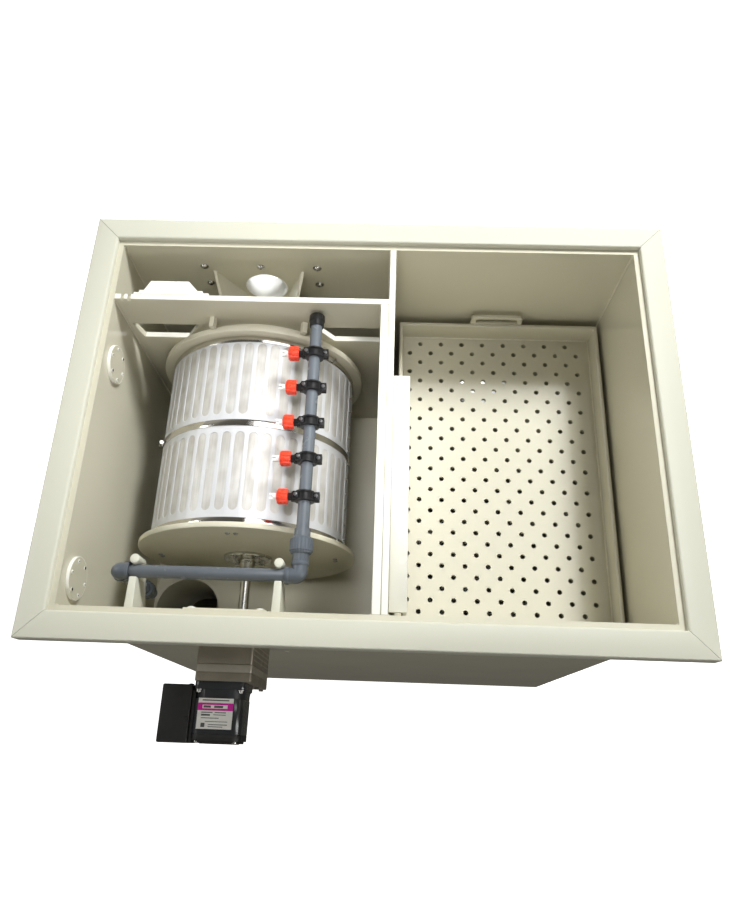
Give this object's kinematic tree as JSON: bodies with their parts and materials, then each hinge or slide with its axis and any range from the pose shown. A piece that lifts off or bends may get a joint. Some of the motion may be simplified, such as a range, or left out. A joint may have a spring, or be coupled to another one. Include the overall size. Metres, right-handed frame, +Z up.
{
  "type": "combined drum and media pond filter",
  "caption": "Open-topped rectangular pond filter: a rotating slotted drum with a spray bar and gearmotor on one side, a lift-out perforated media tray on the other.",
  "frame": {"origin": "centre of the tank's underside, which stands on the ground", "axes": "+Z up, +X from the drum side to the tray side, +Y from the gearmotor wall to the pipe wall"},
  "size_m": [1.1, 0.959, 1.145],
  "materials": {
    "tank_sheet": "semi-gloss extruded sheet",
    "rim_plastic": "semi-gloss, rounded inner edge",
    "drum_disc_plastic": "satin",
    "cage_steel": "bright, pressed slots",
    "mesh_cloth": "fine woven screen",
    "stainless": "bright",
    "fastener_steel": "plain",
    "seal_rubber": "matte",
    "roller_nylon": "satin",
    "pipe_grey": "satin",
    "fitting_grey": "satin",
    "stub_grey": "satin",
    "clamp_black": "satin",
    "nozzle_red": "moulded",
    "gearbox_metal": "sand cast, painted",
    "motor_black": "gloss",
    "box_black": "fine grain",
    "gear_steel": "cut teeth",
    "winding": "enamelled wire on laminations",
    "tray_sheet": "semi-gloss, drilled",
    "float_white": "satin"
  },
  "bodies": {
    "tank": {"back_wall": "tank_sheet", "bearing_plate": "tank_sheet", "blanking_discs": "tank_sheet", "cable_gland": "box_black", "cross_wall": "tank_sheet", "divider_wall": "tank_sheet", "drum_neck": "tank_sheet", "drum_retainers": "tank_sheet", "drum_seals": "seal_rubber", "flange_bearing": "clamp_black", "front_wall": "tank_sheet", "gearbox_case": "gearbox_metal", "gearbox_cover": "gearbox_metal", "level_switch": "float_white", "motor_body": "motor_black", "motor_end_cap": "box_black", "motor_screws": "fastener_steel", "pipe_arms": "tank_sheet", "pipe_elbows": "fitting_grey", "pipe_stubs": "stub_grey", "raised_floor": "tank_sheet", "rim_frame": "rim_plastic", "roller_axles": "stainless", "side_walls": "tank_sheet", "stator": "winding", "supply_pipes": "pipe_grey", "tank_floor": "tank_sheet", "terminal_box": "box_black", "tray_ledges": "tank_sheet", "wall_bolts": "fastener_steel", "waste_trough": "tank_sheet"},
    "drum": {"drum_front_disc": "drum_disc_plastic", "drum_back_ring": "drum_disc_plastic", "drum_cage": "cage_steel", "filter_mesh": "mesh_cloth", "clamp_bands": "stainless", "drum_hub": "stainless", "drum_shaft": "stainless", "drum_screws": "fastener_steel", "output_gear": "gear_steel"},
    "roller_left": {"support_roller_left": "roller_nylon"},
    "roller_right": {"support_roller_right": "roller_nylon"},
    "rotor": {"motor_rotor": "gear_steel"},
    "spray_bar": {"spray_pipe": "pipe_grey", "spray_end_cap": "clamp_black", "nozzle_clamps": "clamp_black", "clamp_screws": "fastener_steel"},
    "union_nut": {"union_nut": "fitting_grey"},
    "tray": {"tray_floor": "tray_sheet", "tray_frame": "tray_sheet"},
    "hood": {"transfer_hood": "tray_sheet"},
    "float": {"switch_float": "float_white"},
    "nozzle_1": {"nozzle_1": "nozzle_red"},
    "nozzle_2": {"nozzle_2": "nozzle_red"},
    "nozzle_3": {"nozzle_3": "nozzle_red"},
    "nozzle_4": {"nozzle_4": "nozzle_red"},
    "nozzle_5": {"nozzle_5": "nozzle_red"}
  },
  "joints": [
    {"name": "drum_spin", "type": "hinge", "parent": "tank", "child": "drum", "pos_m": [-0.244, 0, 0.865], "axis": [0, 1, 0], "continuous": true},
    {"name": "roller_left_spin", "type": "hinge", "parent": "tank", "child": "roller_left", "pos_m": [-0.36165, 0.20425, 0.66122], "axis": [0, 1, 0], "continuous": true},
    {"name": "roller_right_spin", "type": "hinge", "parent": "tank", "child": "roller_right", "pos_m": [-0.12635, 0.20425, 0.66122], "axis": [0, 1, 0], "continuous": true},
    {"name": "rotor_spin", "type": "hinge", "parent": "tank", "child": "rotor", "pos_m": [-0.259, -0.45, 0.89098], "axis": [0, 1, 0], "continuous": true},
    {"name": "spray_bar_swing", "type": "hinge", "parent": "tank", "child": "spray_bar", "pos_m": [-0.11, -0.2355, 1.1], "axis": [0, 1, 0], "range_deg": [-35, 40]},
    {"name": "union_nut_turn", "type": "hinge", "parent": "tank", "child": "union_nut", "pos_m": [-0.11, -0.235, 1.1], "axis": [0, 1, 0], "continuous": true},
    {"name": "tray_lift", "type": "slide", "parent": "tank", "child": "tray", "axis": [0, 0, 1], "range_m": [0, 0.3]},
    {"name": "hood_lift", "type": "slide", "parent": "tank", "child": "hood", "axis": [0, 0, 1], "range_m": [0, 0.3]},
    {"name": "float_slide", "type": "slide", "parent": "tank", "child": "float", "axis": [0, 0, 1], "range_m": [0, 0.029]},
    {"name": "nozzle_1_turn", "type": "hinge", "parent": "spray_bar", "child": "nozzle_1", "pos_m": [-0.139, 0.137, 1.1], "axis": [1, 0, 0], "range_deg": [0, 90]},
    {"name": "nozzle_2_turn", "type": "hinge", "parent": "spray_bar", "child": "nozzle_2", "pos_m": [-0.139, 0.066, 1.1], "axis": [1, 0, 0], "range_deg": [0, 90]},
    {"name": "nozzle_3_turn", "type": "hinge", "parent": "spray_bar", "child": "nozzle_3", "pos_m": [-0.139, -0.005, 1.1], "axis": [1, 0, 0], "range_deg": [0, 90]},
    {"name": "nozzle_4_turn", "type": "hinge", "parent": "spray_bar", "child": "nozzle_4", "pos_m": [-0.139, -0.076, 1.1], "axis": [1, 0, 0], "range_deg": [0, 90]},
    {"name": "nozzle_5_turn", "type": "hinge", "parent": "spray_bar", "child": "nozzle_5", "pos_m": [-0.139, -0.147, 1.1], "axis": [1, 0, 0], "range_deg": [0, 90]}
  ],
  "couplings": [
    {"joint": "rotor_spin", "follows": "drum_spin", "ratio": -4},
    {"joint": "hood_lift", "follows": "tray_lift", "ratio": 1}
  ]
}
